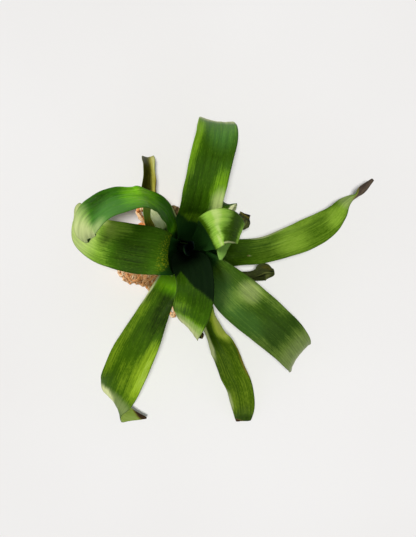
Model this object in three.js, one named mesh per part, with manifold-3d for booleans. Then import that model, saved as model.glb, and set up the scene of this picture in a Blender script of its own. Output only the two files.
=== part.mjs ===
// Air plant with broad strap leaves in a leaning rosette, growing out of a ball of curled roots.
// Millimetres, +Z up, the floor at z = 0. The plant is drawn round the foot of its root ball,
// and the whole group is then moved so that its bounding box is centred on the origin.
import * as THREE from "three";
import Module from "manifold-3d";

const wasm = await Module();
wasm.setup();
const { Manifold, Mesh } = wasm;

// Where the foot of the root ball stands in the finished part.
const BALL_X = -64.9;
const BALL_Y = 22.2;

// The short stock that carries the leaves: its foot and its lean towards the right.
const STOCK_FOOT = new THREE.Vector3(13, 0, 16);
const STOCK_AXIS = new THREE.Vector3(26, 1, 55).normalize();
const STOCK_RADIUS = 21;
const STOCK_RISE = 15;
const STUB_RADIUS = 6;
const STUB_DEPTH = 9;
const SEAT_GAP = 0.35;

// The leaf bases wrap the stock in shells, one inside the other.
const HEART_RADIUS = 3.4;
const SHELL_PITCH = 1.2;
const BULB_FLARE = 5;
const BULB_HEIGHT = 12;
const BULB_SPREAD = 32;
const SHELL_RINGS = [12, 22, 32, 42, 52];
const SHELL_THICK = 0.75;

// The blades.
const BLADE_THICK = 0.95;
const MARGIN_THICK = 0.64;
const CELLS_ACROSS = 6;
const RINGS_PER_SPAN = 2;

// The root ball.
const BALL_CENTRE = new THREE.Vector2(2, 1.5);
const BALL_HALF_WIDTH = 27;
const BALL_HALF_DEPTH = 32;
const BALL_SLANT = 0.42;
const BALL_MIDDLE = 9;
const BALL_TOP = 33;
const ROOT_RADIUS = 1.7;
const ROOT_SIDES = 5;
const ROOT_COUNT = 26;
const ROOT_SEED = 7;

// Hollows in the side of the ball: compass angle, half width in degrees, share of the radius.
const BALL_HOLLOWS = [
  [142, 34, 0.16],
  [256, 34, 0.15],
];

// Roots that reach out of the ball: thickness, then the points that each passes.
const LOOSE_ROOTS = [
  [2.2, [-10, -18, 12], [-19, -20, 15], [-24, -22, 14], [-22.5, -27, 12], [-17, -28.5, 10], [-9, -24, 9]],
  [2, [0, -22, 14], [-4, -30, 13], [-2, -35, 12], [3, -36, 11], [7, -31, 10], [6, -24, 9]],
  [2, [0, 19, 18], [-7, 27, 19], [-12, 34, 19], [-9.5, 37.5, 18], [-4, 34, 16], [1, 26, 14]],
  [1.8, [8, -24, 9], [12, -36, 9], [17, -47, 8], [21.5, -56, 8.5], [20, -60, 8], [15.5, -57, 6]],
];

// Each leaf: side it grows on and wrap of its base in degrees, shell it belongs to, height at
// which it leaves the bulb, how sharply it is folded along its middle (1 is a round trough, less
// is a sharper keel), and its blade as rows of
// x, y, z, compass angle and tilt of the line across the blade, width, half angle of the trough.
const LEAVES = {
  heart_leaf_left: {
    side: 205, wrap: 72, shell: 0, leave: 52, keel: 1, colour: 0x2e4a14,
    blade: [
      [32, -2, 72, 110, 0, 12, 50],
      [32, -3, 84, 112, 0, 9, 40],
      [33, -4, 93, 115, 0, 2, 20],
    ],
  },
  heart_leaf_right: {
    side: 25, wrap: 72, shell: 0, leave: 52, keel: 1, colour: 0x34521a,
    blade: [
      [39, 3, 70, -66, 0, 11, 50],
      [40, 4, 79, -66, 0, 8, 40],
      [40, 5, 86, -66, 0, 2, 20],
    ],
  },
  leaf_rolled: {
    side: 35, wrap: 60, shell: 1, leave: 52, keel: 1, colour: 0x7d9f35,
    blade: [
      [50, 9, 73, -72, 0, 24, 45],
      [52.5, 12, 90, -64, 0, 28, 25],
      [53, 12.6, 104, -60, -4, 31, 10],
      [61, 17, 113.5, -76, -8, 30.5, 5],
      [69, 17.2, 113, -88, -8, 27.5, 4],
      [75.5, 15, 106, -96, -8, 23.5, 4],
      [79, 12, 96, -110, -5, 18.5, 4],
      [76.5, 10.5, 87, -100, 0, 13, 4],
      [70.5, 8.5, 83, -62, 0, 8.5, 4],
      [64.5, 1.5, 83.5, -22, 0, 10, 4],
      [63.5, -4, 85, -8, 0, 8, 4],
      [62.5, -10, 86.5, 0, 0, 2.5, 4],
    ],
  },
  leaf_front: {
    side: 274, wrap: 62, shell: 2, leave: 42, keel: 1, colour: 0x49661f,
    blade: [
      [36, -13, 80, 185, 0, 33, 38],
      [40, -22, 90, 184, 0, 33, 25],
      [41.5, -33, 95, 184, 0, 31.8, 15],
      [40, -46, 92, 178, -6, 33, 10],
      [37, -58, 82, 158, -25, 33, 8],
      [36.5, -69.5, 69, 138, -42, 26, 8],
      [42, -72, 60, 105, -35, 13, 12],
      [48, -76.5, 54, 85, -10, 5, 20],
    ],
  },
  leaf_left: {
    side: 181, wrap: 64, shell: 3, leave: 42, keel: 1, colour: 0x4c6a1c,
    blade: [
      [16, -6, 80, 90, 0, 36, 34],
      [18, -5.5, 92, 90, 0, 36, 24],
      [14, -4.3, 98, 89, 0, 37.5, 14],
      [5, -2.3, 99, 87, 2, 40.5, 10],
      [-9, -0.4, 95, 86, 3, 41.5, 10],
      [-27, 3.2, 85, 82, 10, 40.5, 8],
      [-43, 8, 70, 65, 20, 38, 6],
      [-56, 17.5, 55, 42, 25, 33, 5],
      [-60, 29.5, 44, 20, 20, 18, 5],
      [-63, 37, 39, 10, 10, 9, 5],
      [-62.5, 41.5, 37, 5, 0, 2, 5],
    ],
  },
  leaf_back: {
    side: 88, wrap: 58, shell: 4, leave: 42, keel: 1, colour: 0x3f5e26,
    blade: [
      [41, 26, 78, -5, 0, 36, 40],
      [46, 35, 93, -6, 0, 36.5, 28],
      [50, 52, 104, -10, -3, 35.5, 20],
      [54.5, 72, 107, -10, -5, 36, 16],
      [59, 91, 99, -8, -5, 36, 14],
      [60, 104, 84, -11, -3, 34, 14],
      [59, 110.5, 62, -9, 0, 29.5, 14],
      [57, 112, 40, -5, 0, 22, 14],
      [54, 108, 17, 0, 0, 14, 12],
      [50, 103, 1, 6, 0, 5, 4],
    ],
  },
  leaf_front_right: {
    side: 314, wrap: 56, shell: 5, leave: 42, keel: 1, colour: 0x40581c,
    blade: [
      [50, -16, 73, -130, 0, 28, 38],
      [64, -28.5, 82, -133, 0, 35, 26],
      [80, -44, 85, -133, 0, 40.5, 18],
      [101.5, -62.3, 81, -133, 2, 39.6, 14],
      [118.5, -77.5, 70, -131, 3, 37.4, 13],
      [130, -91.3, 53, -126, 3, 34.2, 14],
      [132.3, -96.3, 35, -125, 0, 30.5, 16],
      [132, -95, 16, -122, 0, 21, 12],
      [128, -90, 5, -120, 0, 10, 6],
      [122, -84, 0.6, -120, 0, 3, 3],
    ],
  },
  leaf_loop: {
    side: 129, wrap: 38, shell: 6, leave: 42, keel: 1, colour: 0x4f7c2a,
    blade: [
      [23, 15, 68, 45, -15, 16, 20],
      [21, 21, 82, 66, -18, 17, 14],
      [16, 31, 97, 88, -28, 22, 10],
      [5, 38, 109, 97, -55, 29, 8],
      [-4, 40, 117, 98, -58, 35, 7],
      [-19, 38, 119.5, 103, -53, 39.5, 5],
      [-30.7, 33.7, 116, 122, -50, 40, 5],
      [-42.6, 26.2, 108, 138, -43, 33.4, 5],
      [-49, 20, 99, 158, -33, 26, 5],
      [-51, 12, 90, 180, -20, 18, 5],
      [-50, 5, 83, 210, 0, 3, 5],
    ],
  },
  leaf_front_left: {
    side: 243, wrap: 50, shell: 7, leave: 42, keel: 1, colour: 0x5a7d18,
    blade: [
      [22, -21, 66, 158, 0, 22, 36],
      [15, -35, 71, 156, 4, 23, 20],
      [4, -58, 73, 156, 3, 28, 10],
      [-5.4, -77.7, 73, 156, 2, 34.5, 8],
      [-13.2, -92.8, 70, 156, 0, 37.5, 8],
      [-20, -108, 64, 155, -4, 38, 8],
      [-26, -122, 55, 149, -14, 38, 8],
      [-30.5, -134.3, 45, 135, -28, 34, 8],
      [-26, -144.3, 35, 110, -28, 23, 10],
      [-16.5, -149.5, 28, 90, -5, 11.5, 20],
      [-4, -153, 22, 83, 0, 2, 20],
    ],
  },
  leaf_right: {
    side: 5, wrap: 48, shell: 7, leave: 32, keel: 0.7, colour: 0x6f8f30,
    blade: [
      [55, -3, 60, -90, 0, 30, 45],
      [67, -3.8, 66, -90, 0, 26, 38],
      [85, -3.3, 69, -88, 4, 24, 32],
      [103, -0.5, 66.5, -80, 6, 24, 26],
      [126, 7.3, 61.5, -68, 6, 27, 21],
      [139, 12.8, 57, -62, 6, 27.6, 18],
      [156, 22.4, 50.5, -55, 4, 24.6, 14],
      [165.6, 31.3, 47.5, -48, 4, 18.3, 13],
      [171.6, 39.1, 45.5, -45, 8, 13, 22],
      [177.8, 44.6, 45, -45, 12, 7.2, 30],
      [183.4, 47.5, 45, -45, 15, 4, 30],
      [188, 52, 45.5, -50, 15, 8, 30],
      [193.5, 57.5, 46, -50, 10, 5.5, 25],
      [198, 61.8, 47, -50, 0, 2.5, 10],
    ],
  },
  leaf_back_short: {
    side: 50, wrap: 34, shell: 8, leave: 32, keel: 0.4, colour: 0x77862f,
    blade: [
      [48, 15, 52, -40, 0, 24, 50],
      [56, 23, 64, -38, 0, 21, 45],
      [61.5, 31.5, 70, -34, 0, 19, 42],
      [66.3, 37, 66.5, -27, 0, 18.5, 38],
      [68.3, 39.8, 54, -20, 0, 18, 32],
      [69, 38.3, 42, -14, 0, 17.5, 25],
      [69, 34, 31, -8, 0, 16, 20],
      [68.5, 30.5, 25, -8, 0, 4, 15],
    ],
  },
  leaf_front_folded: {
    side: 285, wrap: 48, shell: 8, leave: 22, keel: 0.4, colour: 0x6c7d1e,
    blade: [
      [39, -27, 42, 205, 0, 30, 50],
      [46, -45, 50, 204, 0, 25, 62],
      [51.6, -60, 50, 202, 0, 25, 70],
      [57.8, -77, 48, 201, 12, 25, 64],
      [63.2, -85.5, 45, 200, 12, 25, 34],
      [68.8, -97, 39.5, 200, 11, 25, 18],
      [74, -110, 32.5, 201, 6, 24.5, 11],
      [80, -123, 26, 203, 0, 24, 10],
      [84, -141, 15, 195, -4, 22, 10],
      [85, -154, 5, 188, 0, 17, 8],
      [85, -159, 0.8, 185, 0, 14, 4],
    ],
  },
  leaf_pale: {
    side: 135, wrap: 30, shell: 8, leave: 32, keel: 1, colour: 0x9aa878,
    blade: [
      [14, 23, 58, 45, 0, 20, 30],
      [9, 29, 61, 48, 0, 15, 25],
      [5, 34, 58, 50, 0, 8, 20],
      [3, 37, 54, 50, 0, 2, 10],
    ],
  },
  leaf_back_folded: {
    side: 150, wrap: 25, shell: 9, leave: 22, keel: 0.35, colour: 0x7d7c33,
    blade: [
      [2, 28, 43, 8, 0, 20, 66],
      [0, 43, 41, 0, 0, 22, 72],
      [0.2, 61, 38, 0, 0, 20.3, 72],
      [-0.8, 74, 32, 0, 0, 16.5, 64],
      [-2.3, 82, 23, 0, 0, 12.5, 32],
      [-3.4, 85, 12, 0, 0, 10.5, 18],
      [-3.4, 80, 3, 0, 0, 7, 20],
    ],
  },
  dry_leaf_back_right: {
    side: 22, wrap: 20, shell: 9, leave: 22, keel: 0.6, colour: 0x4b3422,
    blade: [
      [65, 12, 36, -60, 0, 17, 50],
      [71.5, 16.5, 41, -55, 0, 11, 40],
      [75.5, 19.8, 44, -52, 0, 8.5, 38],
      [78.4, 22.6, 46.5, -54, 0, 7, 30],
      [82, 24.2, 48, -58, 0, 16.5, 25],
      [83.6, 28.3, 48.5, -46, 0, 11, 25],
      [84.8, 31.6, 48, -35, 0, 10, 20],
    ],
  },
  dry_leaf_right: {
    side: 338, wrap: 20, shell: 9, leave: 22, keel: 0.6, colour: 0x3c3a2c,
    blade: [
      [56, -13, 28, -110, 0, 17, 60],
      [69, -20, 30, -108, 0, 13, 55],
      [80, -24, 33, -100, 0, 11, 55],
      [90, -24.2, 35, -94, 0, 12.5, 60],
      [97.5, -22.6, 37, -88, 0, 14, 58],
      [103.2, -19.8, 39.5, -86, 0, 20, 50],
      [108.8, -20.2, 41.3, -78, 0, 10, 35],
      [111, -19.8, 42, -75, 0, 6, 30],
    ],
  },
  dry_leaf_back: {
    side: 98, wrap: 20, shell: 10, leave: 22, keel: 0.8, colour: 0x3a2a2c,
    blade: [
      [21, 28, 46, 5, 0, 13, 45],
      [22.5, 33.5, 53, 0, 0, 12.5, 40],
      [22.5, 37.5, 56.5, -12, 0, 8, 20],
    ],
  },
};

const rad = THREE.MathUtils.degToRad;

// A repeatable draw of numbers from 0 to 1.
function drawer(seed) {
  let state = seed;
  return () => {
    state = (state * 16807) % 2147483647;
    return state / 2147483647;
  };
}

// Directions square to the stock: one leans down to the right, one points to the back.
const STOCK_RIGHT = new THREE.Vector3(STOCK_AXIS.z, 0, -STOCK_AXIS.x).normalize();
const STOCK_BACK = new THREE.Vector3().crossVectors(STOCK_AXIS, STOCK_RIGHT);

function outward(side) {
  const a = rad(side);
  const right = STOCK_RIGHT.clone().multiplyScalar(Math.cos(a));
  return right.addScaledVector(STOCK_BACK, Math.sin(a));
}

function onStock(height) {
  return STOCK_FOOT.clone().addScaledVector(STOCK_AXIS, height);
}

// Radius of a shell at a height: wider round the bulb, closing in above it.
function shellRadius(shell, height) {
  const t = Math.min(1, Math.abs(height - BULB_HEIGHT) / BULB_SPREAD);
  const swell = 0.5 + 0.5 * Math.cos(Math.PI * t);
  return HEART_RADIUS + shell * SHELL_PITCH + BULB_FLARE * swell;
}

// Height at which the bottom edge of a shell sits just over the stock's cone.
function shellFoot(shell) {
  let height = 5;
  for (let i = 0; i < 12; i++) {
    const inner = shellRadius(shell, height) - SHELL_THICK / 2;
    const cone = STOCK_RISE * (1 - inner / STOCK_RADIUS);
    height = Math.max(0, cone) + SEAT_GAP;
  }
  return height;
}

// The line across a blade, from its left edge to its right edge.
function acrossLine(azimuth, tilt) {
  const a = rad(azimuth);
  const t = rad(tilt);
  return new THREE.Vector3(Math.cos(a) * Math.cos(t), Math.sin(a) * Math.cos(t), Math.sin(t));
}

// All stations of a leaf, from the foot of its base to its tip.
function stationsOf(leaf) {
  const foot = shellFoot(leaf.shell);
  const heights = [foot, ...SHELL_RINGS.filter((h) => h > foot + 3 && h <= leaf.leave)];
  const out = outward(leaf.side);
  const across = new THREE.Vector3().crossVectors(out, STOCK_AXIS);
  const base = heights.map((h) => {
    const radius = shellRadius(leaf.shell, h);
    return {
      at: onStock(h).addScaledVector(out, radius),
      across: across.clone(),
      width: 2 * radius * rad(leaf.wrap),
      bend: 1 / radius,
      keel: 1,
      base: 1,
    };
  });
  const blade = leaf.blade.map(([x, y, z, azimuth, tilt, width, cup]) => ({
    at: new THREE.Vector3(x, y, z),
    across: acrossLine(azimuth, tilt),
    width,
    bend: rad(cup) / (width / 2),
    keel: leaf.keel,
    base: 0,
  }));
  return [...base, ...blade];
}

function cubic(a, b, c, d, t) {
  const p = 2 * b;
  const q = (c - a) * t;
  const r = (2 * a - 5 * b + 4 * c - d) * t * t;
  const s = (3 * b - a - 3 * c + d) * t * t * t;
  return 0.5 * (p + q + r + s);
}

function cubicPoint(a, b, c, d, t) {
  return new THREE.Vector3(
    cubic(a.x, b.x, c.x, d.x, t),
    cubic(a.y, b.y, c.y, d.y, t),
    cubic(a.z, b.z, c.z, d.z, t),
  );
}

// The smooth line through the stations, as rings that each hold place, heading and shape.
function ringsOf(stations) {
  const rings = [];
  const last = stations.length - 1;
  for (let i = 0; i < last; i++) {
    const a = stations[Math.max(0, i - 1)];
    const b = stations[i];
    const c = stations[i + 1];
    const d = stations[Math.min(last, i + 2)];
    const steps = b.base && c.base ? 1 : b.base ? RINGS_PER_SPAN + 1 : RINGS_PER_SPAN;
    for (let k = 0; k < steps + (i === last - 1 ? 1 : 0); k++) {
      const t = k / steps;
      const at = cubicPoint(a.at, b.at, c.at, d.at, t);
      const e = 0.02;
      const ahead = cubicPoint(a.at, b.at, c.at, d.at, t + e);
      const heading = ahead.sub(cubicPoint(a.at, b.at, c.at, d.at, t - e)).normalize();
      const base = THREE.MathUtils.lerp(b.base, c.base, t);
      heading.lerp(STOCK_AXIS, base * base * (3 - 2 * base)).normalize();
      rings.push({
        at,
        heading,
        across: cubicPoint(a.across, b.across, c.across, d.across, t),
        width: Math.max(2, cubic(a.width, b.width, c.width, d.width, t)),
        bend: THREE.MathUtils.lerp(b.bend, c.bend, t),
        keel: THREE.MathUtils.lerp(b.keel, c.keel, t),
        base,
      });
    }
  }
  return rings;
}

// Where the blade lies at a share of its half width: across, up, and how steep it is there.
function trough(half, bend, keel, share) {
  const pieces = 8;
  const size = Math.abs(share);
  const steepest = bend * half;
  let across = 0;
  let up = 0;
  for (let i = 0; i < pieces; i++) {
    const v = (size * (i + 0.5)) / pieces;
    const angle = steepest * Math.pow(v, keel);
    across += (Math.cos(angle) * half * size) / pieces;
    up += (Math.sin(angle) * half * size) / pieces;
  }
  const slope = steepest * Math.pow(size, keel) * Math.sign(share);
  return { across: across * Math.sign(share), up, slope: size === 0 ? 0 : slope };
}

function thickness(ring, share) {
  const blade = MARGIN_THICK + (BLADE_THICK - MARGIN_THICK) * (1 - share * share);
  return THREE.MathUtils.lerp(blade, SHELL_THICK, ring.base);
}

// One ring of a leaf as two rows of points, the upper face and the under face.
function rowsOf(ring) {
  const heading = ring.heading;
  const across = ring.across.clone().addScaledVector(heading, -ring.across.dot(heading)).normalize();
  const up = new THREE.Vector3().crossVectors(across, heading);
  const over = [];
  const under = [];
  for (let j = 0; j <= CELLS_ACROSS; j++) {
    const share = (2 * j) / CELLS_ACROSS - 1;
    const spot = trough(ring.width / 2, ring.bend, ring.keel, share);
    const mid = ring.at.clone().addScaledVector(across, spot.across).addScaledVector(up, spot.up);
    const half = thickness(ring, share) / 2;
    const normal = up.clone().multiplyScalar(Math.cos(spot.slope));
    normal.addScaledVector(across, -Math.sin(spot.slope));
    over.push(mid.clone().addScaledVector(normal, half));
    under.push(mid.addScaledVector(normal, -half));
  }
  return { over, under };
}

// A closed leaf: both faces are split into the same triangles, with a thin margin all round.
function leafGeometry(leaf) {
  const rows = ringsOf(stationsOf(leaf)).map(rowsOf);
  const points = [];
  const faces = [];
  const n = CELLS_ACROSS + 1;
  rows.forEach(({ over, under }) => points.push(...over, ...under));
  const over = (i, j) => i * 2 * n + j;
  const under = (i, j) => i * 2 * n + n + j;
  const quad = (a, b, c, d) => faces.push([a, b, c], [a, c, d]);
  for (let i = 0; i < rows.length - 1; i++) {
    for (let j = 0; j < CELLS_ACROSS; j++) {
      quad(over(i, j), over(i, j + 1), over(i + 1, j + 1), over(i + 1, j));
      faces.push([under(i, j), under(i + 1, j + 1), under(i, j + 1)]);
      faces.push([under(i, j), under(i + 1, j), under(i + 1, j + 1)]);
    }
    quad(under(i, 0), over(i, 0), over(i + 1, 0), under(i + 1, 0));
    quad(over(i, n - 1), under(i, n - 1), under(i + 1, n - 1), over(i + 1, n - 1));
  }
  const end = rows.length - 1;
  for (let j = 0; j < CELLS_ACROSS; j++) {
    quad(under(0, j), under(0, j + 1), over(0, j + 1), over(0, j));
    quad(over(end, j), over(end, j + 1), under(end, j + 1), under(end, j));
  }
  return closedGeometry(points, faces);
}

function closedGeometry(points, faces) {
  const flat = new Float32Array(points.length * 3);
  points.forEach((p, i) => p.toArray(flat, i * 3));
  const geometry = new THREE.BufferGeometry();
  geometry.setAttribute("position", new THREE.BufferAttribute(flat, 3));
  geometry.setIndex(faces.flat());
  return geometry;
}

function solidOf(geometry) {
  return new Manifold(
    new Mesh({
      numProp: 3,
      vertProperties: geometry.getAttribute("position").array,
      triVerts: new Uint32Array(geometry.index.array),
    }),
  );
}

function geometryOf(solid) {
  const mesh = solid.getMesh();
  const geometry = new THREE.BufferGeometry();
  const spots = new Float32Array(mesh.vertProperties);
  geometry.setAttribute("position", new THREE.BufferAttribute(spots, 3));
  geometry.setIndex(new THREE.BufferAttribute(new Uint32Array(mesh.triVerts), 1));
  return geometry;
}

// A round bar along the stock's axis.
function barOnStock(low, high, lowRadius, highRadius, sides) {
  const turn = new THREE.Quaternion().setFromUnitVectors(new THREE.Vector3(0, 0, 1), STOCK_AXIS);
  const matrix = new THREE.Matrix4().compose(onStock(low), turn, new THREE.Vector3(1, 1, 1));
  return Manifold.cylinder(high - low, lowRadius, highRadius, sides).transform(matrix.toArray());
}

// The stock: a cone under the leaf bases with a stub that stands in the root ball.
function stockGeometry() {
  const top = STOCK_RADIUS * 0.12;
  const cone = barOnStock(0, STOCK_RISE * 0.88, STOCK_RADIUS, top, 28);
  const stub = barOnStock(-STUB_DEPTH, 1, STUB_RADIUS, STUB_RADIUS, 16);
  return geometryOf(cone.add(stub));
}

// A point on the root ball for a compass angle and a share of its height.
function ballPoint(angle, lift, proud) {
  let lump = 1 + 0.06 * Math.sin(3 * angle + 4 * lift) + 0.04 * Math.sin(5 * angle + 1 + 7 * lift);
  BALL_HOLLOWS.forEach(([at, reach, depth]) => {
    const off = Math.cos(angle - rad(at)) - Math.cos(rad(reach));
    lump -= depth * THREE.MathUtils.smoothstep(off, 0, 1 - Math.cos(rad(reach)));
  });
  const round = Math.sqrt(Math.max(0, 1 - lift * lift));
  const x = (BALL_HALF_WIDTH * lump + proud) * round * Math.cos(angle);
  const y = (BALL_HALF_DEPTH * lump + proud) * round * Math.sin(angle);
  const z = BALL_MIDDLE + (BALL_TOP - BALL_MIDDLE + proud) * lift;
  return new THREE.Vector3(BALL_CENTRE.x + x + BALL_SLANT * y, BALL_CENTRE.y + y, z);
}

// The lumpy core of the root ball.
function ballCore() {
  const columns = 16;
  const rows = 8;
  const points = [ballPoint(0, -1, 0)];
  const faces = [];
  for (let i = 1; i < rows; i++) {
    const lift = -Math.cos((Math.PI * i) / rows);
    for (let j = 0; j < columns; j++) points.push(ballPoint((2 * Math.PI * j) / columns, lift, 0));
  }
  points.push(ballPoint(0, 1, 0));
  const spot = (i, j) => 1 + (i - 1) * columns + (j % columns);
  for (let j = 0; j < columns; j++) {
    faces.push([0, spot(1, j + 1), spot(1, j)]);
    faces.push([points.length - 1, spot(rows - 1, j), spot(rows - 1, j + 1)]);
    for (let i = 1; i < rows - 1; i++) {
      faces.push([spot(i, j), spot(i, j + 1), spot(i + 1, j + 1)]);
      faces.push([spot(i, j), spot(i + 1, j + 1), spot(i + 1, j)]);
    }
  }
  return solidOf(closedGeometry(points, faces));
}

// A root as a tube through the given points, thinner at both ends.
function rootTube(path, radius) {
  const points = [];
  const faces = [];
  const n = ROOT_SIDES;
  let side = new THREE.Vector3(0.3, 0.2, 0.93);
  path.forEach((p, i) => {
    const ahead = path[Math.min(path.length - 1, i + 1)];
    const behind = path[Math.max(0, i - 1)];
    const heading = ahead.clone().sub(behind).normalize();
    side = side.clone().addScaledVector(heading, -side.dot(heading)).normalize();
    const other = new THREE.Vector3().crossVectors(heading, side);
    const thin = i === 0 || i === path.length - 1 ? 0.6 : 1;
    for (let k = 0; k < n; k++) {
      const a = (2 * Math.PI * k) / n;
      const rim = p.clone().addScaledVector(side, Math.cos(a) * radius * thin);
      points.push(rim.addScaledVector(other, Math.sin(a) * radius * thin));
    }
  });
  const spot = (i, k) => i * n + (k % n);
  for (let k = 0; k < n; k++) {
    for (let i = 0; i < path.length - 1; i++) {
      faces.push([spot(i, k), spot(i, k + 1), spot(i + 1, k + 1)]);
      faces.push([spot(i, k), spot(i + 1, k + 1), spot(i + 1, k)]);
    }
  }
  const end = path.length - 1;
  for (let k = 1; k < n - 1; k++) {
    faces.push([spot(0, 0), spot(0, k + 1), spot(0, k)]);
    faces.push([spot(end, 0), spot(end, k), spot(end, k + 1)]);
  }
  return solidOf(closedGeometry(points, faces));
}

// Roots that curl over the ball, each drawn from the seed.
function curledRoots() {
  const draw = drawer(ROOT_SEED);
  const tubes = [];
  for (let r = 0; r < ROOT_COUNT; r++) {
    let angle = 2 * Math.PI * ((r * 0.382) % 1);
    let lift = -0.5 + 1.4 * draw();
    let way = 2 * Math.PI * draw();
    const curl = (draw() < 0.5 ? -1 : 1) * (0.35 + 0.5 * draw());
    const steps = 5 + Math.floor(4 * draw());
    const path = [];
    for (let i = 0; i <= steps; i++) {
      const buried = i === 0 || i === steps;
      path.push(ballPoint(angle, lift, buried ? -1.5 : 1.2 + 2.2 * draw()));
      angle += (0.17 * Math.cos(way)) / Math.sqrt(Math.max(0.2, 1 - lift * lift));
      lift = THREE.MathUtils.clamp(lift + 0.17 * Math.sin(way), -0.62, 0.93);
      way += curl;
    }
    tubes.push(rootTube(path, ROOT_RADIUS * (0.8 + 0.5 * draw())));
  }
  return tubes;
}

function looseRoots() {
  return LOOSE_ROOTS.map(([radius, ...spots]) => {
    const line = new THREE.CatmullRomCurve3(spots.map((p) => new THREE.Vector3(...p)));
    return rootTube(line.getPoints(2 * spots.length), radius);
  });
}

// The root ball, flat underneath, hollowed where the bulb of leaves sits in it.
function rootBallGeometry() {
  const whole = Manifold.union([ballCore(), ...curledRoots(), ...looseRoots()]);
  const snug = STOCK_RADIUS + 0.6;
  const seat = barOnStock(-SEAT_GAP, 18, snug, snug, 28).add(barOnStock(17, 60, snug, snug + 20, 28));
  const socket = barOnStock(-STUB_DEPTH - SEAT_GAP, 2, STUB_RADIUS + SEAT_GAP, STUB_RADIUS + SEAT_GAP, 16);
  const carved = whole.subtract(seat).subtract(socket).trimByPlane([0, 0, 1], 0);
  const pieces = carved.decompose().sort((a, b) => b.volume() - a.volume());
  return geometryOf(pieces[0]);
}

function addMesh(group, name, geometry, colour, roughness) {
  geometry.computeVertexNormals();
  const mesh = new THREE.Mesh(geometry, new THREE.MeshStandardMaterial({ color: colour, roughness }));
  mesh.name = name;
  group.add(mesh);
}

const group = new THREE.Group();
addMesh(group, "root_mass", rootBallGeometry(), 0x7b5228, 0.95);
addMesh(group, "stem", stockGeometry(), 0x6a5434, 0.9);
for (const [name, leaf] of Object.entries(LEAVES)) {
  addMesh(group, name, leafGeometry(leaf), leaf.colour, name.startsWith("dry") ? 0.85 : 0.5);
}
group.position.set(BALL_X, BALL_Y, 0);

export default group;
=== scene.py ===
"""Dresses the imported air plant: fine leaf blades, curled roots, stock, studio light and camera.

The leaves and the root ball are drawn from the same stations as the solid part, in millimetres
round the foot of the root ball, and are moved and scaled to the frame's metres at the end.
"""

import math
import random

import bpy
import numpy as np
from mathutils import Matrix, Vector


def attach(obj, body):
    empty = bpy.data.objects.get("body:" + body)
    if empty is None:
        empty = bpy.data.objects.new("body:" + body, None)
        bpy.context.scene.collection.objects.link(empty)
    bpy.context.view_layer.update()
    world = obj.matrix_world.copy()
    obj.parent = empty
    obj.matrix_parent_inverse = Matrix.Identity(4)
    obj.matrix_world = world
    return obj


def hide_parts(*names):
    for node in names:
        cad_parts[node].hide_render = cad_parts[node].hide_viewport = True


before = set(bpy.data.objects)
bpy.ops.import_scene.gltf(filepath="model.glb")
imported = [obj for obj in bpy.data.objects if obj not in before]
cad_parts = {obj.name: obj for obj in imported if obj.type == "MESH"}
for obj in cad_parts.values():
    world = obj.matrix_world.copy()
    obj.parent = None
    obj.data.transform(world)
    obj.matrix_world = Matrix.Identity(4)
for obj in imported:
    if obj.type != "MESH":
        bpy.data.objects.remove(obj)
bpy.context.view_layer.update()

MM = 0.001
BODY = "root"

# Where the foot of the root ball stands, in millimetres.
BALL_AT = np.array([-64.9, 22.2, 0.0])

# The stock that carries the leaves: its foot and its lean towards the right.
STOCK_FOOT = np.array([13.0, 0.0, 16.0])
STOCK_LEAN = np.array([26.0, 1.0, 55.0])
STOCK_AXIS = STOCK_LEAN / np.linalg.norm(STOCK_LEAN)
STOCK_RADIUS = 21.0
STOCK_RISE = 15.0
STOCK_TOP = 0.88 * STOCK_RISE
STOCK_COLUMNS = 72
STUB_RADIUS = 5.9
STUB_DEPTH = 9.0
NECK_RADIUS = 2.3
SCAR_DEPTH = 0.35
SCAR_WAVE = 0.3
SCAR_TURN = 4.2
SEAT_GAP = 0.35

# The leaf bases wrap the stock in shells, one inside the other.
HEART_RADIUS = 3.4
SHELL_PITCH = 1.2
BULB_FLARE = 5.0
BULB_HEIGHT = 12.0
BULB_SPREAD = 32.0
SHELL_RINGS = (12, 22, 32, 42, 52)
SHELL_THICK = 0.75

# The blades, and how finely they are drawn.
BLADE_THICK = 0.95
MARGIN_THICK = 0.64
TIP_WIDTH = 1.2
RING_PITCH = 1.3
CELLS_ACROSS = 34
RIM = 0.3
HEADING_STEP = 0.02

# Ripples of the blades and the bark: height, and pitch along and across.
SWELL = (0.34, 46, 30)
FINE_RIPPLE = (0.16, 60, 6)
MARGIN_WAVE = (0.5, 26, 60)
DRY_CRUMPLE = (1.0, 9, 7)
DRY_WRINKLE = (0.25, 30, 2.4)
BARK_RIPPLE = (0.22, 7, 3)

# How the edges of marks wander along the blade and across it: amount, and pitches as above.
WANDER_ALONG = (1.4, 34, 3)
WANDER_ACROSS = (0.08, 22, 14)

# The root ball.
BALL_CENTRE = (2.0, 1.5)
BALL_HALF_WIDTH = 27.0
BALL_HALF_DEPTH = 32.0
BALL_SLANT = 0.42
BALL_MIDDLE = 9.0
BALL_TOP = 33.0
ROOT_SEED = 7
ROOT_SIDES = 7
ROOT_SHORTEST = 6
CURLS_FROM = -0.75
CURLS_TO = 0.93

# Curled roots over the ball: how many, steps, stride, radius, how far they stand proud.
CURLS = (
    (60, 9, 0.15, (1.2, 1.9), (0.4, 3.0)),
    (120, 14, 0.10, (0.6, 1.1), (0.8, 3.4)),
    (90, 12, 0.07, (0.4, 0.6), (1.5, 4.0)),
)

# The hollow in the ball in which the bulb of leaves sits: room round the stock, the height from
# which it widens, and how much it widens over what height.
SEAT_ROOM = 0.6
SEAT_WIDENS_AT = 17.0
SEAT_WIDENING = 20.0 / 43.0

# Lumps of the ball: share of the radius, waves round the ball, waves up it, start.
BALL_LUMPS = ((0.06, 3, 4, 0), (0.04, 5, 7, 1))

# Hollows in the side of the ball: compass angle, half width in degrees, share of the radius.
BALL_HOLLOWS = ((142, 34, 0.16), (256, 34, 0.15))

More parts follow.
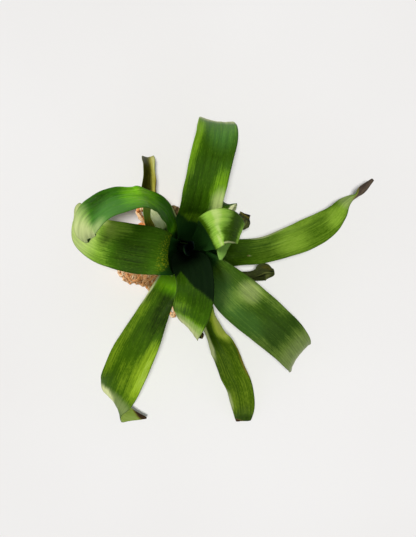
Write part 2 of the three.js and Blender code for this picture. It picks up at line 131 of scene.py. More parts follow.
# Roots that reach out of the ball: thickness, then the points that each passes.
LOOSE_ROOTS = (
    (2.2, (-10, -18, 12), (-19, -20, 15), (-24, -22, 14), (-22.5, -27, 12), (-17, -28.5, 10), (-9, -24, 9)),
    (2.0, (0, -22, 14), (-4, -30, 13), (-2, -35, 12), (3, -36, 11), (7, -31, 10), (6, -24, 9)),
    (2.0, (0, 19, 18), (-7, 27, 19), (-12, 34, 19), (-9.5, 37.5, 18), (-4, 34, 16), (1, 26, 14)),
    (1.8, (8, -24, 9), (12, -36, 9), (17, -47, 8), (21.5, -56, 8.5), (20, -60, 8), (15.5, -57, 6)),
)

# Each leaf: the side it grows on and half the wrap of its base in degrees, the shell it belongs
# to, the height at which it leaves the bulb, its keel, and its blade as rows of x, y, z, compass
# angle and tilt of the line across the blade, width, and half angle of the trough. A keel of 1 is
# an evenly round trough, and a lower one is folded more sharply along the middle.
LEAVES = {
    "heart_leaf_left": dict(side=205, wrap=72, shell=0, leave=52, keel=1, blade=[
        (32, -2, 72, 110, 0, 12, 50),
        (32, -3, 84, 112, 0, 9, 40),
        (33, -4, 93, 115, 0, 2, 20),
    ]),
    "heart_leaf_right": dict(side=25, wrap=72, shell=0, leave=52, keel=1, blade=[
        (39, 3, 70, -66, 0, 11, 50),
        (40, 4, 79, -66, 0, 8, 40),
        (40, 5, 86, -66, 0, 2, 20),
    ]),
    "leaf_rolled": dict(side=35, wrap=60, shell=1, leave=52, keel=1, blade=[
        (50, 9, 73, -72, 0, 24, 45),
        (52.5, 12, 90, -64, 0, 28, 25),
        (53, 12.6, 104, -60, -4, 31, 10),
        (61, 17, 113.5, -76, -8, 30.5, 5),
        (69, 17.2, 113, -88, -8, 27.5, 4),
        (75.5, 15, 106, -96, -8, 23.5, 4),
        (79, 12, 96, -110, -5, 18.5, 4),
        (76.5, 10.5, 87, -100, 0, 13, 4),
        (70.5, 8.5, 83, -62, 0, 8.5, 4),
        (64.5, 1.5, 83.5, -22, 0, 10, 4),
        (63.5, -4, 85, -8, 0, 8, 4),
        (62.5, -10, 86.5, 0, 0, 2.5, 4),
    ]),
    "leaf_front": dict(side=274, wrap=62, shell=2, leave=42, keel=1, blade=[
        (36, -13, 80, 185, 0, 33, 38),
        (40, -22, 90, 184, 0, 33, 25),
        (41.5, -33, 95, 184, 0, 31.8, 15),
        (40, -46, 92, 178, -6, 33, 10),
        (37, -58, 82, 158, -25, 33, 8),
        (36.5, -69.5, 69, 138, -42, 26, 8),
        (42, -72, 60, 105, -35, 13, 12),
        (48, -76.5, 54, 85, -10, 5, 20),
    ]),
    "leaf_left": dict(side=181, wrap=64, shell=3, leave=42, keel=1, blade=[
        (16, -6, 80, 90, 0, 36, 34),
        (18, -5.5, 92, 90, 0, 36, 24),
        (14, -4.3, 98, 89, 0, 37.5, 14),
        (5, -2.3, 99, 87, 2, 40.5, 10),
        (-9, -0.4, 95, 86, 3, 41.5, 10),
        (-27, 3.2, 85, 82, 10, 40.5, 8),
        (-43, 8, 70, 65, 20, 38, 6),
        (-56, 17.5, 55, 42, 25, 33, 5),
        (-60, 29.5, 44, 20, 20, 18, 5),
        (-63, 37, 39, 10, 10, 9, 5),
        (-62.5, 41.5, 37, 5, 0, 2, 5),
    ]),
    "leaf_back": dict(side=88, wrap=58, shell=4, leave=42, keel=1, blade=[
        (41, 26, 78, -5, 0, 36, 40),
        (46, 35, 93, -6, 0, 36.5, 28),
        (50, 52, 104, -10, -3, 35.5, 20),
        (54.5, 72, 107, -10, -5, 36, 16),
        (59, 91, 99, -8, -5, 36, 14),
        (60, 104, 84, -11, -3, 34, 14),
        (59, 110.5, 62, -9, 0, 29.5, 14),
        (57, 112, 40, -5, 0, 22, 14),
        (54, 108, 17, 0, 0, 14, 12),
        (50, 103, 1, 6, 0, 5, 4),
    ]),
    "leaf_front_right": dict(side=314, wrap=56, shell=5, leave=42, keel=1, blade=[
        (50, -16, 73, -130, 0, 28, 38),
        (64, -28.5, 82, -133, 0, 35, 26),
        (80, -44, 85, -133, 0, 40.5, 18),
        (101.5, -62.3, 81, -133, 2, 39.6, 14),
        (118.5, -77.5, 70, -131, 3, 37.4, 13),
        (130, -91.3, 53, -126, 3, 34.2, 14),
        (132.3, -96.3, 35, -125, 0, 30.5, 16),
        (132, -95, 16, -122, 0, 21, 12),
        (128, -90, 5, -120, 0, 10, 6),
        (122, -84, 0.6, -120, 0, 3, 3),
    ]),
    "leaf_loop": dict(side=129, wrap=38, shell=6, leave=42, keel=1, blade=[
        (23, 15, 68, 45, -15, 16, 20),
        (21, 21, 82, 66, -18, 17, 14),
        (16, 31, 97, 88, -28, 22, 10),
        (5, 38, 109, 97, -55, 29, 8),
        (-4, 40, 117, 98, -58, 35, 7),
        (-19, 38, 119.5, 103, -53, 39.5, 5),
        (-30.7, 33.7, 116, 122, -50, 40, 5),
        (-42.6, 26.2, 108, 138, -43, 33.4, 5),
        (-49, 20, 99, 158, -33, 26, 5),
        (-51, 12, 90, 180, -20, 18, 5),
        (-50, 5, 83, 210, 0, 3, 5),
    ]),
    "leaf_front_left": dict(side=243, wrap=50, shell=7, leave=42, keel=1, blade=[
        (22, -21, 66, 158, 0, 22, 36),
        (15, -35, 71, 156, 4, 23, 20),
        (4, -58, 73, 156, 3, 28, 10),
        (-5.4, -77.7, 73, 156, 2, 34.5, 8),
        (-13.2, -92.8, 70, 156, 0, 37.5, 8),
        (-20, -108, 64, 155, -4, 38, 8),
        (-26, -122, 55, 149, -14, 38, 8),
        (-30.5, -134.3, 45, 135, -28, 34, 8),
        (-26, -144.3, 35, 110, -28, 23, 10),
        (-16.5, -149.5, 28, 90, -5, 11.5, 20),
        (-4, -153, 22, 83, 0, 2, 20),
    ]),
    "leaf_right": dict(side=5, wrap=48, shell=7, leave=32, keel=0.7, blade=[
        (55, -3, 60, -90, 0, 30, 45),
        (67, -3.8, 66, -90, 0, 26, 38),
        (85, -3.3, 69, -88, 4, 24, 32),
        (103, -0.5, 66.5, -80, 6, 24, 26),
        (126, 7.3, 61.5, -68, 6, 27, 21),
        (139, 12.8, 57, -62, 6, 27.6, 18),
        (156, 22.4, 50.5, -55, 4, 24.6, 14),
        (165.6, 31.3, 47.5, -48, 4, 18.3, 13),
        (171.6, 39.1, 45.5, -45, 8, 13, 22),
        (177.8, 44.6, 45, -45, 12, 7.2, 30),
        (183.4, 47.5, 45, -45, 15, 4, 30),
        (188, 52, 45.5, -50, 15, 8, 30),
        (193.5, 57.5, 46, -50, 10, 5.5, 25),
        (198, 61.8, 47, -50, 0, 2.5, 10),
    ]),
    "leaf_back_short": dict(side=50, wrap=34, shell=8, leave=32, keel=0.4, blade=[
        (48, 15, 52, -40, 0, 24, 50),
        (56, 23, 64, -38, 0, 21, 45),
        (61.5, 31.5, 70, -34, 0, 19, 42),
        (66.3, 37, 66.5, -27, 0, 18.5, 38),
        (68.3, 39.8, 54, -20, 0, 18, 32),
        (69, 38.3, 42, -14, 0, 17.5, 25),
        (69, 34, 31, -8, 0, 16, 20),
        (68.5, 30.5, 25, -8, 0, 4, 15),
    ]),
    "leaf_front_folded": dict(side=285, wrap=48, shell=8, leave=22, keel=0.4, blade=[
        (39, -27, 42, 205, 0, 30, 50),
        (46, -45, 50, 204, 0, 25, 62),
        (51.6, -60, 50, 202, 0, 25, 70),
        (57.8, -77, 48, 201, 12, 25, 64),
        (63.2, -85.5, 45, 200, 12, 25, 34),
        (68.8, -97, 39.5, 200, 11, 25, 18),
        (74, -110, 32.5, 201, 6, 24.5, 11),
        (80, -123, 26, 203, 0, 24, 10),
        (84, -141, 15, 195, -4, 22, 10),
        (85, -154, 5, 188, 0, 17, 8),
        (85, -159, 0.8, 185, 0, 14, 4),
    ]),
    "leaf_pale": dict(side=135, wrap=30, shell=8, leave=32, keel=1, blade=[
        (14, 23, 58, 45, 0, 20, 30),
        (9, 29, 61, 48, 0, 15, 25),
        (5, 34, 58, 50, 0, 8, 20),
        (3, 37, 54, 50, 0, 2, 10),
    ]),
    "leaf_back_folded": dict(side=150, wrap=25, shell=9, leave=22, keel=0.35, blade=[
        (2, 28, 43, 8, 0, 20, 66),
        (0, 43, 41, 0, 0, 22, 72),
        (0.2, 61, 38, 0, 0, 20.3, 72),
        (-0.8, 74, 32, 0, 0, 16.5, 64),
        (-2.3, 82, 23, 0, 0, 12.5, 32),
        (-3.4, 85, 12, 0, 0, 10.5, 18),
        (-3.4, 80, 3, 0, 0, 7, 20),
    ]),
    "dry_leaf_back_right": dict(side=22, wrap=20, shell=9, leave=22, keel=0.6, blade=[
        (65, 12, 36, -60, 0, 17, 50),
        (71.5, 16.5, 41, -55, 0, 11, 40),
        (75.5, 19.8, 44, -52, 0, 8.5, 38),
        (78.4, 22.6, 46.5, -54, 0, 7, 30),
        (82, 24.2, 48, -58, 0, 16.5, 25),
        (83.6, 28.3, 48.5, -46, 0, 11, 25),
        (84.8, 31.6, 48, -35, 0, 10, 20),
    ]),
    "dry_leaf_right": dict(side=338, wrap=20, shell=9, leave=22, keel=0.6, blade=[
        (56, -13, 28, -110, 0, 17, 60),
        (69, -20, 30, -108, 0, 13, 55),
        (80, -24, 33, -100, 0, 11, 55),
        (90, -24.2, 35, -94, 0, 12.5, 60),
        (97.5, -22.6, 37, -88, 0, 14, 58),
        (103.2, -19.8, 39.5, -86, 0, 20, 50),
        (108.8, -20.2, 41.3, -78, 0, 10, 35),
        (111, -19.8, 42, -75, 0, 6, 30),
    ]),
    "dry_leaf_back": dict(side=98, wrap=20, shell=10, leave=22, keel=0.8, blade=[
        (21, 28, 46, 5, 0, 13, 45),
        (22.5, 33.5, 53, 0, 0, 12.5, 40),
        (22.5, 37.5, 56.5, -12, 0, 8, 20),
    ]),
}


def unit(v):
    return v / np.linalg.norm(v, axis=-1, keepdims=True)


# Directions square to the stock: one leans down to the right, one points to the back.
STOCK_RIGHT = unit(np.array([STOCK_AXIS[2], 0.0, -STOCK_AXIS[0]]))
STOCK_BACK = np.cross(STOCK_AXIS, STOCK_RIGHT)


def outward(side):
    a = math.radians(side)
    return STOCK_RIGHT * math.cos(a) + STOCK_BACK * math.sin(a)


def on_stock(height):
    return STOCK_FOOT + STOCK_AXIS * height


def shell_radius(shell, height):
    """Radius of a shell at a height: wider round the bulb, closing in above it."""
    t = min(1.0, abs(height - BULB_HEIGHT) / BULB_SPREAD)
    return HEART_RADIUS + shell * SHELL_PITCH + BULB_FLARE * (0.5 + 0.5 * math.cos(math.pi * t))


def shell_foot(shell):
    """Height at which the bottom edge of a shell sits just over the stock's cone."""
    height = 5.0
    for _ in range(12):
        inner = shell_radius(shell, height) - SHELL_THICK / 2
        height = max(0.0, STOCK_RISE * (1 - inner / STOCK_RADIUS)) + SEAT_GAP
    return height


def direction(azimuth, tilt):
    """The direction at a compass angle and a tilt in degrees."""
    a, t = math.radians(azimuth), math.radians(tilt)
    return [math.cos(a) * math.cos(t), math.sin(a) * math.cos(t), math.sin(t)]


def stations_of(leaf):
    """Rows of place, line across, width, bend, keel and share of base, from foot to tip."""
    shell = leaf["shell"]
    foot = shell_foot(shell)
    heights = [foot] + [h for h in SHELL_RINGS if foot + 3 < h <= leaf["leave"]]
    out = outward(leaf["side"])
    across = np.cross(out, STOCK_AXIS)
    rows = []
    for h in heights:
        radius = shell_radius(shell, h)
        wide = 2 * radius * math.radians(leaf["wrap"])
        rows.append([*(on_stock(h) + out * radius), *across, wide, 1 / radius, 1, 1])
    for x, y, z, azimuth, tilt, width, cup in leaf["blade"]:
        bend = math.radians(cup) / (width / 2)
        rows.append([x, y, z, *direction(azimuth, tilt), width, bend, leaf["keel"], 0])
    return np.array(rows, float)


def along_spline(rows, t):
    """The rows at the given places: a smooth curve through them, and straight shares."""
    n = len(rows)
    i = np.clip(np.floor(t).astype(int), 0, n - 2)
    u = (t - i)[:, None]
    a, b = rows[np.maximum(i - 1, 0)], rows[i]
    c, d = rows[i + 1], rows[np.minimum(i + 2, n - 1)]
    bow = 2 * b + (c - a) * u + (2 * a - 5 * b + 4 * c - d) * u**2
    curve = 0.5 * (bow + (3 * b - a - 3 * c + d) * u**3)
    straight = b + (c - b) * u
    return np.concatenate([curve[:, :7], straight[:, 7:]], axis=1)


def even_places(rows, pitch):
    """Places along the spline a pitch apart, the length there, and the length of the base."""
    t = np.linspace(0, len(rows) - 1, 60 * (len(rows) - 1) + 1)
    spots = along_spline(rows, t)
    steps = np.linalg.norm(np.diff(spots[:, :3], axis=0), axis=1)
    run = np.concatenate([[0], np.cumsum(steps)])
    wanted = np.linspace(0, run[-1], int(run[-1] / pitch) + 2)
    first_blade = np.argmax(rows[:, 9] == 0)
    return np.interp(wanted, run, t), wanted, float(np.interp(first_blade, t, run))


def trough(half, bend, keel, shares):
    """Where the blade lies at shares of its half width: across, up, and how steep it is."""
    pieces = 8
    size, sign = np.abs(shares), np.sign(shares)
    across = up = 0.0
    for i in range(pieces):
        angle = bend * half * (size * (i + 0.5) / pieces) ** keel
        across = across + np.cos(angle) * half * size / pieces
        up = up + np.sin(angle) * half * size / pieces
    return across * sign, up, bend * half * size**keel * sign


def ripple(u, v, pitch_u, pitch_v, seed, waves=6):
    """A smooth uneven field of about -1 to 1, with waves of the given pitches."""
    draw = random.Random(seed)
    total = 0.0
    for _ in range(waves):
        fu = 2 * math.pi * draw.uniform(0.5, 1.5) / pitch_u
        fv = 2 * math.pi * draw.uniform(-1.3, 1.3) / pitch_v
        total = total + np.sin(fu * u + fv * v + draw.uniform(0, 2 * math.pi))
    return total / math.sqrt(waves) / 1.2


# Marks over the blades: painted light, painted highlight and sheen, painted shade, a colour shift that is
# partly painted sheen, dry ends, and specks.
PATCH_KINDS = ("light", "pale", "dark", "shift_and_sheen", "dry", "speck")


def smooth(x, low, high):
    t = np.clip((x - low) / (high - low), 0, 1)
    return t * t * (3 - 2 * t)


def patch_field(along, share, patches):
    """Adds up the soft patches of one kind."""
    total = np.zeros_like(along)
    for a, c, length, width, amount in patches:
        reach = np.hypot((along - a) / length, (share - c) / width)
        total += amount * (1 - smooth(reach, 0.35, 1.3))
    return total


class Blade:
    """A leaf's sections, a row for each, and the grid of points across them, in millimetres."""

    def __init__(self, leaf):
        rows = stations_of(leaf)
        t, run, base_run = even_places(rows, RING_PITCH)
        spots = along_spline(rows, t)
        ahead = along_spline(rows, np.minimum(t + HEADING_STEP, len(rows) - 1))
        heading = unit((ahead - along_spline(rows, np.maximum(t - HEADING_STEP, 0)))[:, :3])
        self.base = spots[:, 9:]
        blend = smooth(self.base, 0, 1)
        heading = unit(heading * (1 - blend) + STOCK_AXIS * blend)
        across = spots[:, 3:6]
        across = unit(across - np.sum(across * heading, axis=1, keepdims=True) * heading)
        self.across = across[:, None, :]
        self.up = np.cross(across, heading)[:, None, :]
        self.middle = spots[:, None, :3]
        self.half = np.maximum(spots[:, 6:7], TIP_WIDTH) / 2
        shares = np.linspace(-1, 1, CELLS_ACROSS + 1)
        self.side, self.rise, self.slope = trough(self.half, spots[:, 7:8], spots[:, 8:9], shares)
        self.share, self.length = np.meshgrid(shares, run)
        self.wide = self.share * self.half
        self.span = run[-1] - base_run
        self.along = (self.length - base_run) / self.span


def blade_fields(blade, look, seed):
    """The marks on a blade, painted light, highlight and shade among them: how much of each kind there is
    over its grid.
    """
    ragged = look.get("ragged", 0.45)
    far, *pitches = WANDER_ALONG
    along = blade.along + far * ragged / blade.span * ripple(blade.length, blade.wide, *pitches, seed + 5)
    far, *pitches = WANDER_ACROSS
    share = blade.share + far * ragged * ripple(blade.length, blade.wide, *pitches, seed + 6)
    fields = {kind: patch_field(along, share, look.get(kind, ())) for kind in PATCH_KINDS}
    # Painted shade of the cup: dark up to a reach that changes across the leaf.
    edge = np.interp(blade.share, *zip(*look.get("shade", level(0.08))))
    fields["shade"] = 1 - smooth(blade.along, edge - look.get("shade_edge", 0.05), edge + 0.012)
    fields["dry"] += smooth(blade.along + 0.03 * blade.share, *look.get("dry_tip", (2.0, 3.0)))
    return fields


def blade_lift(blade, look, dry, seed):
    """How far ripples, creases and dry crumples lift the blade off its smooth form."""

    def waves(form, across, step):
        height, *pitches = form
        return height * ripple(blade.length, across, *pitches, seed + step)

    fade = np.clip(blade.half / 8, 0, 1)
    lift = waves(SWELL, blade.wide, 0) + waves(FINE_RIPPLE, blade.wide, 1)
    lift += np.abs(blade.share) ** 4 * waves(MARGIN_WAVE, 40 * np.sign(blade.wide), 2)
    lift *= smooth(blade.along, -0.02, 0.12) * fade
    for c, depth, width, start, end in look.get("creases", ()):
        run_in = smooth(blade.along, start, start + 0.06) * (1 - smooth(blade.along, end - 0.06, end))
        lift -= depth * np.exp(-(((blade.share - c) / width) ** 2)) * run_in
    crumple = look.get("crumple", 0.6) * waves(DRY_CRUMPLE, blade.wide, 3)
    crumple += waves(DRY_WRINKLE, blade.wide, 4)
    return lift + np.clip(dry, 0, 1) * fade * smooth(blade.along, -0.2, 0.1) * crumple


def blade_skin(blade, lift):
    """The points round each section: over the blade, its right rim, under it, its left rim."""
    thick = MARGIN_THICK + (BLADE_THICK - MARGIN_THICK) * (1 - blade.share**2)
    thick = thick + (SHELL_THICK - thick) * blade.base
    cos, sin = np.cos(blade.slope)[..., None], np.sin(blade.slope)[..., None]
    over_way = blade.up * cos - blade.across * sin
    out_way = blade.across * cos + blade.up * sin
    mid = blade.middle + blade.across * (blade.side * (1 - RIM / blade.half))[..., None]
    mid = mid + blade.up * blade.rise[..., None] + over_way * lift[..., None]
    half_thick = over_way * (thick / 2)[..., None]
    rim_right = mid[:, -1:] + out_way[:, -1:] * RIM
    rim_left = mid[:, :1] - out_way[:, :1] * RIM
    return np.concatenate([mid + half_thick, rim_right, (mid - half_thick)[:, ::-1], rim_left], axis=1)


def around(field, at_rim=None):
    """A field over the blade's grid, as values for the points round each section."""
    right, left = field[:, -1:], field[:, :1]
    if at_rim is not None:
        right = left = np.full_like(left, at_rim)
    return np.concatenate([field, right, field[:, ::-1], left], axis=1)


def leaf_shape(leaf, look, number):
    """Points and faces of a leaf in millimetres, and the values that its material reads."""
    blade = Blade(leaf)
    seed = 11 * number
    fields = blade_fields(blade, look, seed)
    points = blade_skin(blade, blade_lift(blade, look, fields["dry"], seed))
    rings, n = blade.share.shape
    values = {kind: around(field) for kind, field in fields.items()}
    values["face"] = np.tile(np.repeat([0.0, 0.5, 1.0, 0.5], [n, 1, n, 1]), (rings, 1))
    rim = np.minimum((1 - np.abs(blade.share)) * blade.half, blade.length[-1] - blade.length)
    values["rim"] = around(rim, 0.0)
    places = [around(blade.wide), around(blade.length), np.full_like(values["face"], 37.0 * number)]
    values["blade"] = np.stack(places, axis=-1)
    return points, section_faces(rings, n), values


def section_faces(rings, n):
    """Faces of a closed strip: quads round each section, and a cap at both ends."""
    size = 2 * n + 2
    k = np.arange(size)
    nxt = (k + 1) % size
    start = (np.arange(rings - 1) * size)[:, None]
    quads = np.stack([start + k, start + nxt, start + size + nxt, start + size + k], axis=-1)
    faces = quads.reshape(-1, 4).tolist()
    end = (rings - 1) * size
    for j in range(n - 1):
        a, b, c, d = j, j + 1, 2 * n - j - 1, 2 * n - j
        faces.append([a, d, c, b])
        faces.append([end + a, end + b, end + c, end + d])
    faces += [[n - 1, n + 1, n], [0, 2 * n + 1, 2 * n]]
    faces += [[end + n - 1, end + n, end + n + 1], [end, end + 2 * n, end + 2 * n + 1]]
    return faces


def in_scene(name, data):
    """A new object in the scene."""
    made = bpy.data.objects.new(name, data)
    bpy.context.scene.collection.objects.link(made)
    return made


def make_object(name, points, faces, material):
    """A smooth mesh object from points in millimetres round the foot of the root ball."""
    mesh = bpy.data.meshes.new(name)
    placed = (np.asarray(points, float).reshape(-1, 3) + BALL_AT) * MM
    mesh.from_pydata(placed.tolist(), [], faces)
    mesh.materials.append(material)
    mesh.polygons.foreach_set("use_smooth", [True] * len(mesh.polygons))
    mesh.update()
    return in_scene(name, mesh)


def give_values(piece, values):
    """Puts fields on a mesh's points: one number for each point, or a vector of three."""
    for name, field in values.items():
        flat = np.ascontiguousarray(field, np.float32).ravel()
        single = len(flat) == len(piece.data.vertices)
        attribute = piece.data.attributes.new(name, "FLOAT" if single else "FLOAT_VECTOR", "POINT")
        attribute.data.foreach_set("value" if single else "vector", flat)


# Materials


class Graph:
    """Short calls for building a node material."""

    def __init__(self, name):
        self.material = bpy.data.materials.new(name)
        self.material.use_nodes = True
        self.tree = self.material.node_tree
        self.shader = next(n for n in self.tree.nodes if n.type == "BSDF_PRINCIPLED")

    def node(self, kind, inputs=None, **settings):
        made = self.tree.nodes.new(kind)
        for key, value in settings.items():
            setattr(made, key, value)
        for key, value in (inputs or {}).items():
            self.feed(made.inputs[key], value)
        return made

    def feed(self, socket, value):
        if isinstance(value, bpy.types.NodeSocket):
            self.tree.links.new(value, socket)
        elif isinstance(value, tuple) and len(value) == 3 and socket.type == "RGBA":
            socket.default_value = (*value, 1.0)
        else:
            socket.default_value = value

    def value(self, name):
        return self.node("ShaderNodeAttribute", attribute_name=name).outputs["Fac"]

    def vector(self, name):
        return self.node("ShaderNodeAttribute", attribute_name=name).outputs["Vector"]

    def math(self, operation, a, b=0.0, c=0.0, clamp=False):
        inputs = {0: a, 1: b, 2: c}
        made = self.node("ShaderNodeMath", inputs, operation=operation, use_clamp=clamp)
        return made.outputs[0]

    def scaled(self, vector, scale):
        made = self.node("ShaderNodeVectorMath", {0: vector, 1: scale}, operation="MULTIPLY")
        return made.outputs[0]

    def noise(self, vector, detail=2.0, rough=0.5, warp=0.0):
        inputs = {"Vector": vector, "Scale": 1.0, "Detail": detail, "Roughness": rough, "Distortion": warp}
        return self.node("ShaderNodeTexNoise", inputs).outputs["Fac"]

    def span(self, value, low, high, to_low=0.0, to_high=1.0):
        inputs = {"Value": value, "From Min": low, "From Max": high, "To Min": to_low, "To Max": to_high}
        made = self.node("ShaderNodeMapRange", inputs, interpolation_type="SMOOTHSTEP")
        return made.outputs[0]

    def mix(self, factor, a, b, blend="MIX"):
        made = self.node("ShaderNodeMix", data_type="RGBA", blend_type=blend, clamp_factor=True)
        self.feed(made.inputs[0], factor)
        self.feed(made.inputs[6], a)
        self.feed(made.inputs[7], b)
        return made.outputs[2]

    def ramp(self, factor, stops):
        made = self.node("ShaderNodeValToRGB", {"Fac": factor})
        band = made.color_ramp
        while len(band.elements) < len(stops):
            band.elements.new(0.5)
        for element, (place, colour) in zip(band.elements, stops):
            element.position = place
            element.color = (*colour, 1.0)
        return made.outputs["Color"]

    def swayed(self, value, texture, amount):
        """A value made larger and smaller by a texture's swing about its middle."""
        return self.math("MULTIPLY_ADD", self.math("SUBTRACT", texture, 0.5), amount, value)

    def surface(self, colour, rough, specular):
        self.feed(self.shader.inputs["Base Color"], colour)
        self.feed(self.shader.inputs["Roughness"], rough)
        self.feed(self.shader.inputs["Specular IOR Level"], specular)

    def bump(self, height, strength, distance):
        inputs = {"Height": height, "Strength": strength, "Distance": distance}
        self.tree.links.new(self.node("ShaderNodeBump", inputs).outputs[0], self.shader.inputs["Normal"])


def srgb(r, g, b):
    """A colour as 0 to 255 values on screen, as the linear values that shaders use."""
    def one(v):
        v = v / 255
        return v / 12.92 if v <= 0.04045 else ((v + 0.055) / 1.055) ** 2.4

    return (one(r), one(g), one(b))


def leaf_material(name, look):
    """A leaf's skin, from its greens to its dry ends, with painted light, highlights and shade, and the
    painted shade of the cup.

    Noise scales are per millimetre, across the blade and along it.
    """
    hue = {key: srgb(*look[key]) for key in GREEN}
    g = Graph(name)
    blade = g.vector("blade")
    streak = g.noise(g.scaled(blade, (0.30, 0.010, 1.0)), detail=3.0, rough=0.6)
    line = g.noise(g.scaled(blade, (0.75, 0.032, 1.0)), detail=3.0, rough=0.65)
    vein = g.noise(g.scaled(blade, (1.15, 0.022, 1.0)), detail=3.0, rough=0.7)
    blotch = g.noise(g.scaled(blade, (0.07, 0.04, 1.0)), detail=3.0, rough=0.6)
    grain = g.noise(g.scaled(blade, (0.9, 0.30, 1.0)), detail=3.0, rough=0.7)
    # Painted light: the light marks raise the tone.
    lit = g.span(line, 0.3, 0.7, 0.85, 1.15)
    tone = g.math("MULTIPLY_ADD", g.value("light"), lit, look.get("tone", 0.45))
    tone = g.swayed(tone, streak, look.get("streaks", 0.14))
    tone = g.swayed(tone, line, look.get("lines", 0.42))
    tone = g.swayed(tone, vein, look.get("veins", 0.75))
    tone = g.swayed(g.swayed(tone, grain, 0.5), blotch, 0.25)
    # Painted shade: the dark marks lower the tone.
    tone = g.math("SUBTRACT", tone, g.math("MULTIPLY", g.value("dark"), 0.5))
    green = g.ramp(g.math("MULTIPLY_ADD", tone, 1 / 1.8, 0.3 / 1.8), [
        (0.0, hue["darkest"]), (0.167, hue["deep"]), (0.444, hue["mid"]),
        (0.722, hue["bright"]), (1.0, hue["glow"]),
    ])
    # A colour shift that is partly the leaf's own and partly painted sheen and painted light.
    green = g.mix(g.value("shift_and_sheen"), green, hue["shift_and_sheen_colour"])
    fleck = g.span(g.noise(g.scaled(blade, (1.2, 0.24, 1.0)), detail=1.0), 0.6, 0.75)
    green = g.mix(g.math("MULTIPLY", fleck, 0.12), green, hue["fleck"])
    speck = g.span(g.noise(g.scaled(blade, (0.75, 0.6, 1.0)), detail=1.0), 0.5, 0.62)
    green = g.mix(g.math("MULTIPLY", speck, g.value("speck")), green, hue["mottle"])
    # Painted highlights and sheen.
    pale = g.math("MULTIPLY", g.value("pale"), g.span(line, 0.25, 0.7, 0.8, 1.15), clamp=True)
    green = g.mix(pale, green, hue["sheen_and_highlight"])
    backside = g.mix(g.span(streak, 0.3, 0.7), hue["under"], hue["under_streak"])
    green = g.mix(g.span(g.value("face"), 0.5, 1.0), green, backside)
    margin = g.math("MULTIPLY", g.span(g.value("rim"), 0.15, 0.7, 1.0, 0.0), 0.3)
    green = g.mix(margin, green, hue["margin"])
    dry = g.swayed(g.swayed(g.value("dry"), blotch, 0.5), vein, 0.5)
    green = g.mix(g.span(dry, 0.12, 0.5, 0.0, 0.85), green, hue["turning"])
    brown = g.ramp(g.math("MULTIPLY_ADD", streak, 0.6, g.math("MULTIPLY", grain, 0.4)),
                   [(0.3, hue["brown_dark"]), (0.7, hue["brown"])])
    colour = g.mix(g.span(dry, 0.4, 0.75), green, brown)
    # Painted shade of the cup, on the upper face only.
    inside = g.math("MULTIPLY", g.value("shade"), g.span(g.value("face"), 0.5, 1.0, 1.0, 0.0))
    colour = g.mix(g.math("MULTIPLY", inside, 0.94), colour, hue["shadow"])
    rough = g.math("MULTIPLY_ADD", grain, 0.16, look.get("rough", 0.38))
    rough = g.math("ADD", rough, g.span(dry, 0.3, 0.7, 0.0, 0.3))
    rough = g.math("MULTIPLY_ADD", inside, 0.4, rough)
    g.surface(colour, rough, look.get("specular", 0.07))
    g.bump(g.math("MULTIPLY_ADD", vein, 0.5, g.math("MULTIPLY", line, 0.5)), 0.4, 0.0005)
    return g.material


def level(share):
    """The reach of the painted shade of the cup where it is the same right across the leaf."""
    return ((-1, share), (1, share))


# How each leaf is coloured: its colours as on screen, and how strong its streaks are. Light, pale,
# dark, shift_and_sheen, dry and speck are soft ovals: share along the blade, share across it from
# -1 to 1, half length, half width, amount. Light is painted light, pale is painted highlight and
# sheen, dark is painted shade with, in places, some of the leaf's own darker green, and
# shift_and_sheen is partly the leaf's own colour shift and partly painted sheen and light. Shade
# gives, for shares across, how far along the painted shade of the cup reaches. A crease has a share
# across, a depth in millimetres, a half width, and a start and end. Dry_tip says where along the
# blade it begins to be dry, and is. The colours sheen_and_highlight, shift_and_sheen_colour, mottle
# and shadow go with pale, shift_and_sheen, speck and shade.
GREEN = dict(
    deep=(27, 50, 1), mid=(54, 91, 4), bright=(118, 164, 26),
    darkest=(14, 30, 2), glow=(168, 194, 84),
    shift_and_sheen_colour=(84, 136, 66), fleck=(140, 168, 60), sheen_and_highlight=(204, 212, 150),
    under=(104, 130, 58), under_streak=(130, 154, 84), margin=(58, 74, 26),
    turning=(132, 120, 40), brown=(96, 70, 46), brown_dark=(40, 28, 22),
    mottle=(132, 140, 20), shadow=(22, 58, 16),
)
FRESH_GREEN = dict(GREEN, deep=(22, 52, 0), mid=(46, 98, 2), bright=(104, 168, 14))
WARM_GREEN = dict(GREEN, deep=(27, 48, 0), mid=(58, 92, 2), bright=(136, 168, 32))
YELLOW_GREEN = dict(
    GREEN, slot="leaf_yellow_green", deep=(34, 58, 0), mid=(70, 101, 4), bright=(138, 170, 46),
)
OLIVE = dict(
    GREEN, slot="leaf_olive", darkest=(20, 24, 2), deep=(34, 40, 2), mid=(78, 80, 16),
    bright=(152, 148, 58), glow=(190, 184, 112),
)
PALE = dict(
    GREEN, slot="leaf_pale", darkest=(72, 88, 48), deep=(116, 130, 80), mid=(178, 188, 140),
    bright=(224, 228, 190), glow=(236, 238, 212),
)
DRY = dict(
    GREEN, slot="leaf_dry", darkest=(26, 28, 18), deep=(50, 54, 34), mid=(108, 116, 62),
    bright=(164, 168, 94), glow=(180, 180, 120),
    brown=(112, 94, 78), brown_dark=(32, 26, 25), rough=0.6, crumple=1.2,
)
# Heart leaves deep in the cup: painted dark all over, with painted shade of the cup over their whole upper
# face.
HEART = dict(
    GREEN, darkest=(10, 20, 10), deep=(14, 28, 14), mid=(18, 38, 18),
    bright=(26, 50, 20), glow=(36, 60, 26), margin=(22, 44, 18),
    under=(18, 36, 16), under_streak=(24, 46, 20), shadow=(10, 25, 22), shade=level(1.2),
)

